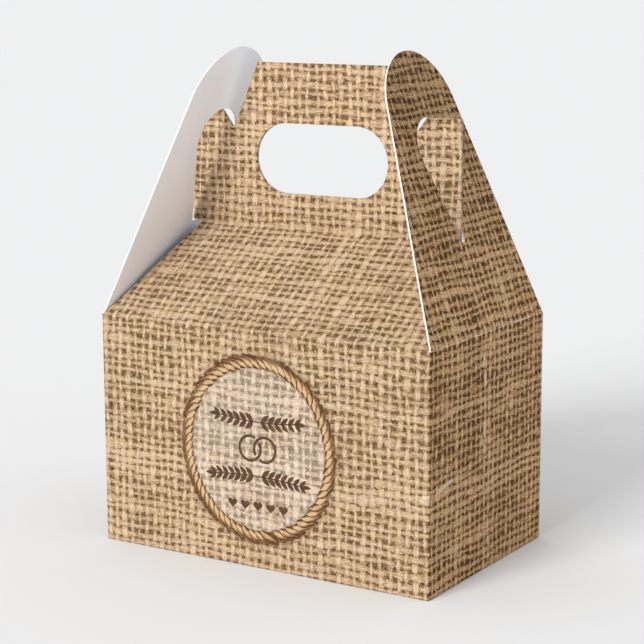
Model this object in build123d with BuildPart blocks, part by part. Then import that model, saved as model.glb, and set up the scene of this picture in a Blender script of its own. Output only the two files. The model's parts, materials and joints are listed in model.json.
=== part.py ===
"""Gable-top favour box folded from one sheet of printed card.

Every panel between two creases is its own piece, so the roof halves, the two
handle panels and the two end flaps can turn about the creases they hang on.
Millimetres. X runs along the box, the front faces -Y and Z is up. The origin
is the middle of the underside.
"""

import os
from math import cos, radians, sin, tan

from build123d import *

os.makedirs("parts", exist_ok=True)

# --- Driving dimensions ------------------------------------------------------

# Box body, measured over the card's outer faces
length = 101.6
depth = 63.5
wall_height = 63.5
board = 0.46

# Clearances: beside a hinged crease, and between two panels that lie together
crease_gap = 0.15
lay_gap = 0.08

# Roof halves, from the eave crease to the ridge crease
roof_pitch = 35.5
roof_eave_half = 50.2
roof_ridge_half = 39.2

# Handle panels, which stand on the ridge and touch back to back
handle_height = 44.65
handle_top_half = 20.0
ear_half = 42.2
ear_bottom = 0.6
ear_top = 31.7
ear_inner_half = 32.2
ear_notch_half = 28.1
ear_notch_height = 26.4
notch_radius = 0.9
hand_hole_length = 41.4
hand_hole_height = 19.0
hand_hole_centre = 19.05

# End flaps, which lean in over the ends of the roof and hook on the handle ears
flap_lean = 19.5
flap_base_half = 31.2
flap_length = 75.3
flap_top_radius = 17.7
drop_radius = 8.5
drop_centre = 48.9
drop_point_radius = 0.85
drop_point_centre = 24.5

# Base panels and the glue flap inside the back right corner
lock_reach = 9.0
lock_gap = 0.1
side_base_reach = 27.0
side_base_cut = 16.0
glue_width = 13.0
glue_cut = 4.0

# --- Derived sizes -----------------------------------------------------------

handle_offset = board + lay_gap / 2
roof_run = depth / 2 - handle_offset
roof_slant = roof_run / cos(radians(roof_pitch))
ridge_z = wall_height + roof_run * tan(radians(roof_pitch))
flap_arc_centre = flap_length - flap_top_radius
inner_half_x = length / 2 - board
inner_half_y = depth / 2 - board

# --- Panel planes: local X along the crease, local Y up the panel, Z inwards --

front_plane = Plane(origin=(0, -depth / 2, 0), x_dir=(-1, 0, 0), z_dir=(0, 1, 0))
back_plane = Plane(origin=(0, depth / 2, 0), x_dir=(1, 0, 0), z_dir=(0, -1, 0))
left_plane = Plane(origin=(-length / 2, 0, 0), x_dir=(0, 1, 0), z_dir=(1, 0, 0))
right_plane = Plane(origin=(length / 2, 0, 0), x_dir=(0, -1, 0), z_dir=(-1, 0, 0))

pitch_sin = sin(radians(roof_pitch))
pitch_cos = cos(radians(roof_pitch))
roof_front_plane = Plane(
    origin=(0, -depth / 2, wall_height),
    x_dir=(-1, 0, 0),
    z_dir=(0, pitch_sin, -pitch_cos),
)
roof_back_plane = Plane(
    origin=(0, depth / 2, wall_height),
    x_dir=(1, 0, 0),
    z_dir=(0, -pitch_sin, -pitch_cos),
)

handle_front_plane = Plane(
    origin=(0, -handle_offset, ridge_z), x_dir=(-1, 0, 0), z_dir=(0, 1, 0)
)
handle_back_plane = Plane(
    origin=(0, handle_offset, ridge_z), x_dir=(1, 0, 0), z_dir=(0, -1, 0)
)

lean_sin = sin(radians(flap_lean))
lean_cos = cos(radians(flap_lean))
flap_left_plane = Plane(
    origin=(-length / 2, 0, wall_height),
    x_dir=(0, 1, 0),
    z_dir=(lean_cos, 0, -lean_sin),
)
flap_right_plane = Plane(
    origin=(length / 2, 0, wall_height),
    x_dir=(0, -1, 0),
    z_dir=(-lean_cos, 0, -lean_sin),
)


# --- Shared outlines ---------------------------------------------------------

# Roof half: a trapezium between the eave crease and the ridge crease
with BuildSketch() as roof_outline:
    with BuildLine():
        Polyline(
            (-roof_eave_half, crease_gap),
            (roof_eave_half, crease_gap),
            (roof_ridge_half, roof_slant),
            (-roof_ridge_half, roof_slant),
            close=True,
        )
    make_face()

# Handle panel: a tapered top, a square ear at each end and a hand hole
with BuildSketch() as handle_outline:
    with BuildLine():
        Polyline(
            (-roof_ridge_half, crease_gap),
            (roof_ridge_half, crease_gap),
            (roof_ridge_half, ear_bottom),
            (ear_half, ear_bottom),
            (ear_half, ear_top),
            (ear_inner_half, ear_top),
            (ear_notch_half, ear_notch_height),
            (handle_top_half, handle_height),
            (-handle_top_half, handle_height),
            (-ear_notch_half, ear_notch_height),
            (-ear_inner_half, ear_top),
            (-ear_half, ear_top),
            (-ear_half, ear_bottom),
            (-roof_ridge_half, ear_bottom),
            close=True,
        )
    make_face()
    notches = vertices().filter_by_position(
        Axis.Y, ear_notch_height - 0.1, ear_notch_height + 0.1
    )
    fillet(notches, radius=notch_radius)
    with Locations((0, hand_hole_centre)):
        SlotOverall(hand_hole_length, hand_hole_height, mode=Mode.SUBTRACT)

# End flap: straight sides drawn in to a round top, around a teardrop hole
with BuildSketch() as drop_outline:
    with Locations((0, drop_point_centre)):
        Circle(drop_point_radius)
    with Locations((0, drop_centre)):
        Circle(drop_radius)
    make_hull()

with BuildSketch() as flap_outline:
    with BuildLine():
        Line((-flap_base_half, crease_gap), (flap_base_half, crease_gap))
        CenterArc((0, flap_arc_centre), flap_top_radius, 0, 180)
    make_hull()
    add(drop_outline.sketch, mode=Mode.SUBTRACT)

# --- Walls, mitred where they fold into each other ---------------------------

with BuildPart() as front_wall:
    with BuildSketch(front_plane):
        with Locations((0, wall_height / 2)):
            Rectangle(length, wall_height)
    extrude(amount=board, taper=45)
front_wall.part.label = "front_wall"
export_step(front_wall.part, "parts/front_wall.step")

with BuildPart() as back_wall:
    with BuildSketch(back_plane):
        with Locations((0, wall_height / 2)):
            Rectangle(length, wall_height)
    extrude(amount=board, taper=45)
back_wall.part.label = "back_wall"
export_step(back_wall.part, "parts/back_wall.step")

with BuildPart() as left_wall:
    with BuildSketch(left_plane):
        with Locations((0, wall_height / 2)):
            Rectangle(depth, wall_height)
    extrude(amount=board, taper=45)
left_wall.part.label = "left_wall"
export_step(left_wall.part, "parts/left_wall.step")

with BuildPart() as right_wall:
    with BuildSketch(right_plane):
        with Locations((0, wall_height / 2)):
            Rectangle(depth, wall_height)
    extrude(amount=board, taper=45)
right_wall.part.label = "right_wall"
export_step(right_wall.part, "parts/right_wall.step")

# Glue flap: folds off the right wall and is stuck to the inside of the back
with BuildPart() as glue_flap:
    with BuildSketch(Plane(origin=(0, inner_half_y, 0), z_dir=(0, -1, 0), x_dir=(1, 0, 0))):
        with BuildLine():
            Polyline(
                (inner_half_x, 2 * board + crease_gap),
                (inner_half_x, wall_height - board - crease_gap),
                (inner_half_x - glue_width, wall_height - board - glue_cut),
                (inner_half_x - glue_width, 2 * board + glue_cut),
                close=True,
            )
        make_face()
    extrude(amount=board)
glue_flap.part.label = "glue_flap"
export_step(glue_flap.part, "parts/glue_flap.step")

# --- Base: two main panels that interlock, held by a glued flap at each end ---

with BuildPart() as base_front:
    with BuildSketch(Plane.XY):
        Rectangle(length, depth)
    extrude(amount=board, taper=45)
    with BuildSketch(Plane.XY):
        with BuildLine():
            Polyline(
                (-length / 2, -depth / 2),
                (length / 2, -depth / 2),
                (length / 2, -lock_reach - lock_gap / 2),
                (lock_reach - lock_gap / 2, -lock_reach - lock_gap / 2),
                (-lock_reach - lock_gap / 2, lock_reach - lock_gap / 2),
                (-length / 2, lock_reach - lock_gap / 2),
                close=True,
            )
        make_face()
    extrude(amount=board, mode=Mode.INTERSECT)
base_front.part.label = "base_front"
export_step(base_front.part, "parts/base_front.step")

with BuildPart() as base_back:
    with BuildSketch(Plane.XY):
        Rectangle(length, depth)
    extrude(amount=board, taper=45)
    with BuildSketch(Plane.XY):
        with BuildLine():
            Polyline(
                (length / 2, depth / 2),
                (-length / 2, depth / 2),
                (-length / 2, lock_reach + lock_gap / 2),
                (-lock_reach + lock_gap / 2, lock_reach + lock_gap / 2),
                (lock_reach + lock_gap / 2, -lock_reach + lock_gap / 2),
                (length / 2, -lock_reach + lock_gap / 2),
                close=True,
            )
        make_face()
    extrude(amount=board, mode=Mode.INTERSECT)
base_back.part.label = "base_back"
export_step(base_back.part, "parts/base_back.step")

with BuildPart() as base_left:
    with BuildSketch(Plane.XY.offset(board)):
        with BuildLine():
            Polyline(
                (-inner_half_x, -inner_half_y),
                (-inner_half_x + side_base_reach, -inner_half_y + side_base_cut),
                (-inner_half_x + side_base_reach, inner_half_y - side_base_cut),
                (-inner_half_x, inner_half_y),
                close=True,
            )
        make_face()
    extrude(amount=board)
base_left.part.label = "base_left"
export_step(base_left.part, "parts/base_left.step")

with BuildPart() as base_right:
    with BuildSketch(Plane.XY.offset(board)):
        with BuildLine():
            Polyline(
                (inner_half_x, inner_half_y),
                (inner_half_x - side_base_reach, inner_half_y - side_base_cut),
                (inner_half_x - side_base_reach, -inner_half_y + side_base_cut),
                (inner_half_x, -inner_half_y),
                close=True,
            )
        make_face()
    extrude(amount=board)
base_right.part.label = "base_right"
export_step(base_right.part, "parts/base_right.step")

# --- Roof halves, hinged on the eave creases ----------------------------------

with BuildPart() as roof_front:
    with BuildSketch(roof_front_plane):
        add(roof_outline.sketch)
    extrude(amount=board)
roof_front.part.label = "roof_front"
export_step(roof_front.part, "parts/roof_front.step")

with BuildPart() as roof_back:
    with BuildSketch(roof_back_plane):
        add(roof_outline.sketch)
    extrude(amount=board)
roof_back.part.label = "roof_back"
export_step(roof_back.part, "parts/roof_back.step")

# --- Handle panels, hinged on the ridge creases -------------------------------

with BuildPart() as handle_front:
    with BuildSketch(handle_front_plane):
        add(handle_outline.sketch)
    extrude(amount=board)
handle_front.part.label = "handle_front"
export_step(handle_front.part, "parts/handle_front.step")

with BuildPart() as handle_back:
    with BuildSketch(handle_back_plane):
        add(handle_outline.sketch)
    extrude(amount=board)
handle_back.part.label = "handle_back"
export_step(handle_back.part, "parts/handle_back.step")

# --- End flaps, hinged on the top creases of the end walls --------------------

with BuildPart() as end_flap_left:
    with BuildSketch(flap_left_plane):
        add(flap_outline.sketch)
    extrude(amount=board)
end_flap_left.part.label = "end_flap_left"
export_step(end_flap_left.part, "parts/end_flap_left.step")

with BuildPart() as end_flap_right:
    with BuildSketch(flap_right_plane):
        add(flap_outline.sketch)
    extrude(amount=board)
end_flap_right.part.label = "end_flap_right"
export_step(end_flap_right.part, "parts/end_flap_right.step")
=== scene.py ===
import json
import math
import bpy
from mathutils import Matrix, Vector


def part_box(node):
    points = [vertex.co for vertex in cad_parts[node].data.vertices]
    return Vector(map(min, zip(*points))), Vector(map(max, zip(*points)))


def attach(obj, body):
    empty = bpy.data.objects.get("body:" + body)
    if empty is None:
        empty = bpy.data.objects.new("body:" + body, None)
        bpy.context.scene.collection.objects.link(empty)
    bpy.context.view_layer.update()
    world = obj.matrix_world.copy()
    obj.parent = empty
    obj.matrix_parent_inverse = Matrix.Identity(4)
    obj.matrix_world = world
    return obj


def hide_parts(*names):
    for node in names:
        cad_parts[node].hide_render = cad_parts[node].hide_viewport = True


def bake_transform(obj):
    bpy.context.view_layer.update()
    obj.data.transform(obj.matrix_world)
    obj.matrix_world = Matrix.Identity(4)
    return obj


bl_info = {
    "name": "Gable Favour Box",
    "version": (1, 0, 0),
    "blender": (4, 5, 0),
    "location": "View3D > Sidebar > Favour Box",
    "description": "Builds the printed card, rope ring, emblem and studio",
    "category": "Object",
}

import bmesh
import bpy
from bpy.props import FloatProperty, FloatVectorProperty, IntProperty, PointerProperty
from mathutils import Matrix, Vector
from mathutils.geometry import delaunay_2d_cdt

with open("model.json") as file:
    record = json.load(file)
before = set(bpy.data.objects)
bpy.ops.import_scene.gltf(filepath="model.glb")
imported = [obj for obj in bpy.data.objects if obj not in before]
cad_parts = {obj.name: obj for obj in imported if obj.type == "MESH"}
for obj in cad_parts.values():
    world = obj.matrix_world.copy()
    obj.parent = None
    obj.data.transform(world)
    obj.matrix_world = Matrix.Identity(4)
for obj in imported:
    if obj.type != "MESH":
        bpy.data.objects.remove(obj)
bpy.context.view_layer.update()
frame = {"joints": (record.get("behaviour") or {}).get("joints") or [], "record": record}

MM = 0.001
NEAR = 1e-6
WEAVE_UV = "weave"
FOLD_ATTRIBUTE = "fold"
# material slots of a panel
PRINTED, INSIDE, CUT = 0, 1, 2


def box_size(node):
    """Lowest and highest corner of a CAD node at rest."""
    low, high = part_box(node)
    return Vector(low), Vector(high)


FRONT_LOW, FRONT_HIGH = box_size("front_wall")
SIDE_LOW, SIDE_HIGH = box_size("right_wall")
LENGTH = FRONT_HIGH.x - FRONT_LOW.x
DEPTH = SIDE_HIGH.y - SIDE_LOW.y
WALL = FRONT_HIGH.z
BOARD = FRONT_HIGH.y - FRONT_LOW.y
RIDGE = next(j for j in frame["joints"] if j["name"] == "handle_front_crease")["pos_m"]
RIDGE_Y, RIDGE_Z = abs(RIDGE[1]), RIDGE[2]
HANDLE_TOP = box_size("handle_front")[1].z
ROOF_PITCH = math.atan2(RIDGE_Z - WALL, DEPTH / 2 - RIDGE_Y)
ROOF_SLANT = math.hypot(RIDGE_Z - WALL, DEPTH / 2 - RIDGE_Y)
# where the front and the back panels start along the cut sheet
SHEET_START = {-1: 0.0, 1: LENGTH + DEPTH}


# --- Sizes and colours a user would change -----------------------------------


def a_length(name, description, millimetres):
    """A length property, its default given in millimetres."""
    return FloatProperty(
        name=name, description=description, default=millimetres * MM, unit="LENGTH"
    )


def an_angle(name, description, degrees):
    """An angle property, its default given in degrees."""
    return FloatProperty(
        name=name,
        description=description,
        default=math.radians(degrees),
        subtype="ANGLE",
    )


def a_colour(name, description, red, green, blue):
    """A colour property, its default given as linear red, green and blue."""
    return FloatVectorProperty(
        name=name, description=description, default=(red, green, blue), subtype="COLOR"
    )


class CardSettings(bpy.types.PropertyGroup):
    """Shape of the folded card."""

    corner_radius: a_length(
        "Corner radius", "Outside radius where two walls fold into each other", 0.5
    )
    crease_half: a_length(
        "Crease half width", "Width of card that bends each side of a hinged crease", 0.6
    )
    roof_eave_half: a_length(
        "Roof half length at eave", "Half a roof half's length on top of the wall", 50.2
    )
    roof_ridge_half: a_length(
        "Roof half length at ridge", "Half a roof half's length along the ridge", 39.2
    )
    flap_base_half: a_length(
        "End flap half width", "Half the width of an end flap at its crease", 31.2
    )
    flap_lean: an_angle(
        "End flap lean", "How far an end flap leans in from upright", 19.5
    )
    flap_length: a_length("End flap length", "From the crease to the round tip", 75.28)
    flap_tip_radius: a_length("End flap tip radius", "Radius of the round tip", 17.7)
    bow: a_length(
        "Panel bow", "How far the middle of a large panel stands out of true", 0.17
    )


class PrintSettings(bpy.types.PropertyGroup):
    """The burlap pattern printed on the card."""

    pitch_across: a_length(
        "Upright thread pitch", "Distance between upright threads", 2.55
    )
    pitch_up: a_length("Level thread pitch", "Distance between level threads", 2.25)
    light_thread: a_colour(
        "Light thread", "Colour on the crown of a thread", 0.545, 0.405, 0.270
    )
    mid_thread: a_colour(
        "Thread", "Colour on the flank of a thread", 0.235, 0.145, 0.072
    )
    gap: a_colour("Gap", "Colour between the threads", 0.048, 0.023, 0.007)
    side_light_thread: a_colour(
        "Light thread at the ends",
        "Colour on the crown of a thread, end walls and flaps",
        0.640, 0.428, 0.238,
    )
    side_mid_thread: a_colour(
        "Thread at the ends",
        "Colour on the flank of a thread, end walls and flaps",
        0.176, 0.083, 0.024,
    )
    side_gap: a_colour(
        "Gap at the ends",
        "Colour between the threads, end walls and flaps",
        0.013, 0.0045, 0.0005,
    )
    straw: a_colour(
        "Straw", "Colour of the slivers of straw in the weave", 0.62, 0.49, 0.37
    )
    vellum: a_colour(
        "Pale ground", "Colour over the weave inside the rope ring", 0.52, 0.54, 0.50
    )
    ink: a_colour("Ink", "Colour of the printed emblem", 0.080, 0.043, 0.024)
    board: a_colour(
        "Bare board", "Colour of the card's unprinted inside", 0.920, 0.940, 0.985
    )
    cut_edge: a_colour(
        "Cut edge", "Colour of the card where it is cut", 0.64, 0.63, 0.625
    )
    worn: a_colour(
        "Worn fold", "Colour where the print has cracked off a fold", 0.80, 0.76, 0.70
    )


class RingSettings(bpy.types.PropertyGroup):
    """The rope ring printed on the front wall."""

    centre_x: a_length(
        "Centre across", "Centre of the ring along the front wall", -0.4
    )
    centre_z: a_length("Centre height", "Centre of the ring above the base", 32.1)
    half_across: a_length(
        "Half width", "From the centre to the middle of the rope, sideways", 22.35
    )
    half_up: a_length(
        "Half height", "From the centre to the middle of the rope, upwards", 23.5
    )
    rope_width: a_length("Rope width", "Width of the printed rope", 3.3)
    strands: IntProperty(
        name="Strands",
        description="Turns of strand seen around the ring",
        default=66,
        min=12,
    )
    ink_height: a_length(
        "Ink height", "How far printed shapes stand off the card", 0.02
    )


class StageSettings(bpy.types.PropertyGroup):
    """Floor, lights and camera."""

    floor: a_colour("Floor", "Colour of the floor and backdrop", 0.745, 0.748, 0.755)
    sky: FloatProperty(
        name="Sky", description="Brightness of the even light all round", default=0.81
    )
    key: FloatProperty(
        name="Key light", description="Strength of the key light", default=2.8
    )
    key_spread: an_angle("Key spread", "Apparent width of the key light", 26.0)
    key_from: FloatVectorProperty(
        name="Key from",
        description="Direction the key light comes from",
        default=(-0.15, -0.90, 0.41),
        subtype="DIRECTION",
    )
    lens: FloatProperty(
        name="Lens",
        description="Focal length in millimetres on a 36 mm sensor",
        default=106.33,
    )


# --- Node writing --------------------------------------------------------------


class Wire:
    """A node's output. Sums with wires and numbers add the math nodes for them."""

    def __init__(self, writer, socket):
        self.writer = writer
        self.socket = socket

    def __add__(self, other):
        return self.writer.math("ADD", self, other)

    def __radd__(self, other):
        return self.writer.math("ADD", other, self)

    def __sub__(self, other):
        return self.writer.math("SUBTRACT", self, other)

    def __rsub__(self, other):
        return self.writer.math("SUBTRACT", other, self)

    def __mul__(self, other):
        return self.writer.math("MULTIPLY", self, other)

    def __truediv__(self, other):
        return self.writer.math("DIVIDE", self, other)

    def __rtruediv__(self, other):
        return self.writer.math("DIVIDE", other, self)

    def about(self, amount):
        """Noise moved to swing about nothing, times an amount."""
        return (self - 0.5) * amount


class NodeWriter:
    """Adds nodes to a tree and wires them, one call a node."""

    def __init__(self, tree):
        self.tree = tree

    def add(self, kind, inputs=None, **settings):
        node = self.tree.nodes.new(kind)
        for name, value in settings.items():
            setattr(node, name, value)
        for key, value in (inputs or {}).items():
            self.feed(node.inputs[key], value)
        return node

    def feed(self, socket, value):
        if isinstance(value, Wire):
            self.tree.links.new(value.socket, socket)
        else:
            socket.default_value = value

    def out(self, kind, inputs=None, output=0, **settings):
        """Adds a node and hands back one of its outputs."""
        return Wire(self, self.add(kind, inputs, **settings).outputs[output])

    def math(self, operation, *values, clamp=False):
        inputs = dict(enumerate(values))
        return self.out(
            "ShaderNodeMath", inputs, operation=operation, use_clamp=clamp
        )

    def vector(self, x=0.0, y=0.0, z=0.0):
        return self.out("ShaderNodeCombineXYZ", {0: x, 1: y, 2: z})

    def split(self, vector):
        """The three parts of a vector."""
        node = self.add("ShaderNodeSeparateXYZ", {0: vector})
        return [Wire(self, socket) for socket in node.outputs]

    def in_millimetres(self, vector):
        """Place across and up the cut sheet."""
        across, up, _ = self.split(vector)
        return across * (1.0 / MM), up * (1.0 / MM)

    def object_place(self):
        return self.out("ShaderNodeTexCoord", output="Object")

    def sheet_place(self):
        return self.out("ShaderNodeUVMap", uv_map=WEAVE_UV)

    def attribute(self, name):
        return self.out("ShaderNodeAttribute", output="Fac", attribute_name=name)

    def noise(self, vector, scale=1.0, detail=2.0, roughness=0.5):
        inputs = {
            "Vector": vector,
            "Scale": scale,
            "Detail": detail,
            "Roughness": roughness,
        }
        return self.out("ShaderNodeTexNoise", inputs)

    def pick(self, number):
        """A random value for a whole number."""
        return self.out(
            "ShaderNodeTexWhiteNoise", {"W": number}, "Value", noise_dimensions="1D"
        )

    def ramp(self, value, low, high, to_low=0.0, to_high=1.0):
        inputs = {
            "Value": value,
            "From Min": low,
            "From Max": high,
            "To Min": to_low,
            "To Max": to_high,
        }
        return self.out(
            "ShaderNodeMapRange", inputs, interpolation_type="SMOOTHSTEP"
        )

    def mix(self, factor, first, second, blend="MIX"):
        """Mixes two colours: inputs 6 and 7 and output 2 are a Mix node's colours."""
        inputs = {0: factor, 6: first, 7: second}
        return self.out(
            "ShaderNodeMix", inputs, 2, data_type="RGBA", blend_type=blend,
            clamp_factor=True,
        )


class GroupWriter(NodeWriter):
    """Writes a node group. What comes in is in given, and give wires what goes out.

    An input is named with its default, or with its socket type if it has none.
    """

    def __init__(self, name, kind, inputs, outputs):
        super().__init__(bpy.data.node_groups.new(name, kind))
        sockets = self.tree.interface
        for label, value in inputs.items():
            plain = isinstance(value, str)
            kind = value if plain else self.socket_type(value)
            socket = sockets.new_socket(
                name=label, in_out="INPUT", socket_type=f"NodeSocket{kind}"
            )
            if not plain:
                socket.default_value = value
        for label, kind in outputs.items():
            sockets.new_socket(
                name=label, in_out="OUTPUT", socket_type=f"NodeSocket{kind}"
            )
        source = self.add("NodeGroupInput")
        self.given = {label: Wire(self, source.outputs[label]) for label in inputs}
        self.sink = self.add("NodeGroupOutput")

    @staticmethod
    def socket_type(value):
        kinds = {tuple: "Color", int: "Int", bpy.types.Material: "Material"}
        return kinds.get(type(value), "Float")

    def give(self, **outputs):
        for label, value in outputs.items():
            self.feed(self.sink.inputs[label], value)
        return self.tree


def rgba(colour):
    return (colour[0], colour[1], colour[2], 1.0)


# --- Shared shader groups ------------------------------------------------------

# how far a thread's edge fades into the gap, as a share of the pitch
THREAD_SOFTNESS = 0.055
# the most by which threads wander off their line, in millimetres
WANDER_ACROSS, WANDER_UP = 3.2, 3.4
# half widths of the threads, as a share of the pitch
UPRIGHT_HALF, LEVEL_HALF = 0.255, 0.305


def burlap_group():
    """Plain weave of uneven threads, with gaps between them, as flat colour."""
    colours = bpy.context.scene.favour_print
    inputs = {
        "Vector": "Vector",
        "Pitch across": colours.pitch_across / MM,
        "Pitch up": colours.pitch_up / MM,
        "Light thread": rgba(colours.light_thread),
        "Thread": rgba(colours.mid_thread),
        "Gap": rgba(colours.gap),
    }
    w = GroupWriter("Burlap weave", "ShaderNodeTree", inputs, {"Color": "Color"})
    given = w.given
    u, v = w.in_millimetres(given["Vector"])

    def field(scale_u, scale_v, shift, detail=1.0, roughness=0.5):
        """Noise stretched over the sheet."""
        place = w.vector(u * scale_u, v * scale_v, shift)
        return w.noise(place, detail=detail, roughness=roughness)

    wander_u = u + field(0.22, 0.07, 3.1, 2.0).about(WANDER_ACROSS)
    wander_v = v + field(0.06, 0.24, 8.7, 2.0).about(WANDER_UP)
    cell_u = wander_u / given["Pitch across"]
    cell_v = wander_v / given["Pitch up"]
    index_u, index_v = w.math("FLOOR", cell_u), w.math("FLOOR", cell_v)
    off_u, off_v = cell_u - index_u - 0.5, cell_v - index_v - 0.5
    pick_u, pick_v = w.pick(index_u + 11.3), w.pick(index_v + 77.7)

    # thickness of each thread: its own, its slubs, and where the cloth is dense
    dense = field(0.08, 0.11, 21.0, 1.5).about(0.22)
    slub_u = w.noise(w.vector(index_u * 3.71, v * 0.26, 1.0), detail=1.0)
    slub_v = w.noise(w.vector(u * 0.13, index_v * 5.37, 5.0), detail=1.0)
    half_u = UPRIGHT_HALF + pick_u.about(0.10) + slub_u.about(0.28) + dense
    half_v = LEVEL_HALF + pick_v.about(0.10) + slub_v.about(0.30)
    half_v = half_v + w.ramp(slub_v, 0.60, 0.72, 0.0, 0.30) + dense

    # fibres run along their thread
    fibre_u = field(2.9, 0.5, 40.0, 2.0, 0.8)
    fibre_v = field(0.5, 2.9, 60.0, 2.0, 0.8)
    ragged = field(1.5, 1.5, 90.0, 2.0, 0.8).about(0.55)

    def thread_profile(off, half, fibre):
        """Where a thread covers the sheet, and how high its crown stands there."""
        edge = w.math("ABSOLUTE", off) + ragged + fibre.about(0.30)
        cover = w.ramp(edge - half, -THREAD_SOFTNESS, THREAD_SOFTNESS, 1.0, 0.0)
        return cover, w.ramp(edge / half, 0.2, 1.35, 1.0, 0.35)

    cover_u, crown_u = thread_profile(off_u, half_u, fibre_u)
    cover_v, crown_v = thread_profile(off_v, half_v, fibre_v)

    # which thread lies on top, cell by cell
    side = w.math("FLOORED_MODULO", index_u + index_v, 2.0) * 2.0 - 1.0
    wave_u = side * w.math("COSINE", off_v * math.pi)
    wave_v = side * w.math("COSINE", off_u * math.pi)
    rise_u = crown_u * (wave_u * 0.55 + 0.47) * cover_u
    rise_v = crown_v * (wave_v * -0.30 + 0.56) * cover_v
    upright_on_top = w.ramp(rise_u - rise_v, -0.08, 0.08)

    # tone: crown of the thread, its own shade, its fibres, and the whole cloth's
    tone_u = rise_u * 1.05 - 0.03 + pick_u.about(0.22) + fibre_u.about(2.9)
    tone_v = rise_v * 0.95 - 0.07 + pick_v.about(0.30) + fibre_v.about(3.3)
    tone = (tone_u - tone_v) * upright_on_top + tone_v
    tone = tone + field(0.05, 0.07, 120.0, 2.0).about(0.6)
    speckle = field(2.6, 2.6, 200.0, 2.0, 0.8).about(2.6)
    tone = w.math("ADD", tone, speckle, clamp=True)
    thread = w.mix(tone, given["Thread"], given["Light thread"])
    warmth = w.ramp(field(0.11, 0.5, 150.0, 2.0), 0.45, 0.7)
    warm = w.mix(warmth, (1.0, 1.0, 1.02, 1.0), (1.01, 1.0, 0.90, 1.0))
    thread = w.mix(1.0, thread, warm, "MULTIPLY")
    haze = w.ramp(field(1.5, 1.5, 170.0, 2.0, 0.8), 0.36, 0.60)
    hollow = w.mix(haze * 0.72, given["Gap"], given["Thread"])
    colour = w.mix(w.math("MAXIMUM", cover_u, cover_v), hollow, thread)
    # loose pale hairs lying over the cloth
    hair = w.math(
        "MAXIMUM",
        w.ramp(field(0.35, 2.6, 230.0), 0.66, 0.72),
        w.ramp(field(2.6, 0.35, 260.0), 0.68, 0.74),
    )
    return w.give(Color=w.mix(hair * 0.45, colour, given["Light thread"]))


def grain_group():
    """Faint mottle and tooth of pressed card, in Object coordinates."""
    w = GroupWriter(
        "Card grain",
        "ShaderNodeTree",
        {"Amount": 0.5, "Roughness": 0.6},
        {"Tint": "Color", "Roughness": "Float", "Height": "Float"},
    )
    place = w.object_place()
    mottle = w.noise(place, 55.0, 4.0, 0.6)
    tooth = w.noise(place, 2600.0, 3.0, 0.6)
    amount = w.given["Amount"]
    shade = 1.0 + mottle.about(0.12) * amount + tooth.about(0.08) * amount
    rough = w.given["Roughness"] + mottle.about(0.18) + tooth.about(0.12)
    return w.give(Tint=w.vector(shade, shade, shade), Roughness=rough, Height=tooth)


def rubbed_group():
    """Cracks of bare card where a fold has been worked."""
    w = GroupWriter(
        "Rubbed fold",
        "ShaderNodeTree",
        {"Vector": "Vector", "Fold": 0.0, "Amount": 0.5},
        {"Mask": "Float"},
    )
    place = w.given["Vector"]
    specks = w.noise(place, 950.0, 3.0, 0.7)
    patches = w.noise(place, 70.0, 2.0, 0.5)
    level = (specks + patches.about(0.5)) * w.given["Fold"]
    return w.give(Mask=w.ramp(level, 0.42, 0.56) * w.given["Amount"])


# start, end and half width of each sliver, in millimetres of the cut sheet
STRAWS = (
    ((79.6, 58.6), (79.4, 54.2), 0.55),
    ((80.3, 53.6), (80.5, 49.0), 0.75),
    ((80.2, 47.0), (80.6, 43.4), 0.45),
    ((80.4, 40.6), (80.2, 36.4), 0.80),
    ((78.6, 36.8), (78.8, 34.0), 0.35),
    ((48.6, 26.6), (51.6, 27.1), 0.42),
    ((53.6, 26.9), (63.8, 28.7), 0.62),
)


def straw_group():
    """Pale slivers of straw caught in the weave, laid over its colour."""
    straw = rgba(bpy.context.scene.favour_print.straw)
    w = GroupWriter(
        "Straw slivers",
        "ShaderNodeTree",
        {"Vector": "Vector", "Color": "Color", "Straw": straw},
        {"Color": "Color"},
    )
    u, v = w.in_millimetres(w.given["Vector"])
    total = 0.0
    for start, end, half_width in STRAWS:
        total = w.math("MAXIMUM", total, sliver(w, u, v, start, end, half_width))
    frayed = w.noise(w.vector(u * 1.6, v * 1.6))
    total = total * w.ramp(frayed, 0.34, 0.54, 0.35, 0.92)
    return w.give(Color=w.mix(total, w.given["Color"], w.given["Straw"]))


def sliver(w, u, v, start, end, half_width):
    """Mask of one sliver of straw from start to end, in millimetres of sheet."""
    run = Vector(end) - Vector(start)
    along = run.normalized()
    du, dv = u - start[0], v - start[1]
    t = du * along[0] + dv * along[1]
    s = dv * along[0] - du * along[1]
    from_middle = w.math("ABSOLUTE", t - run.length / 2)
    taper = w.ramp(from_middle, run.length * 0.30, run.length * 0.5, 1.0, 0.0)
    off_line = w.math("ABSOLUTE", s) - taper * half_width
    return w.ramp(off_line, -0.12, 0.10, 1.0, 0.0)


def painted_shading_group():
    """Painted light and shade: the print made paler or deeper up the cut sheet."""
    w = GroupWriter(
        "Tone up the sheet",
        "ShaderNodeTree",
        {
            "Vector": "Vector",
            "Color": "Color",
            "Start": 100.0 * MM,
            "End": 124.0 * MM,
            "Tone": 1.0,
        },
        {"Color": "Color"},
    )
    given = w.given
    height = w.split(given["Vector"])[1]
    tone = w.ramp(height, given["Start"], given["End"], 1.0, given["Tone"])
    toned = w.mix(1.0, given["Color"], w.vector(tone, tone, tone), "MULTIPLY")
    return w.give(Color=toned)


SHADER_GROUPS = {
    "Burlap weave": burlap_group,
    "Card grain": grain_group,
    "Rubbed fold": rubbed_group,
    "Straw slivers": straw_group,
    "Tone up the sheet": painted_shading_group,
}


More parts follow.
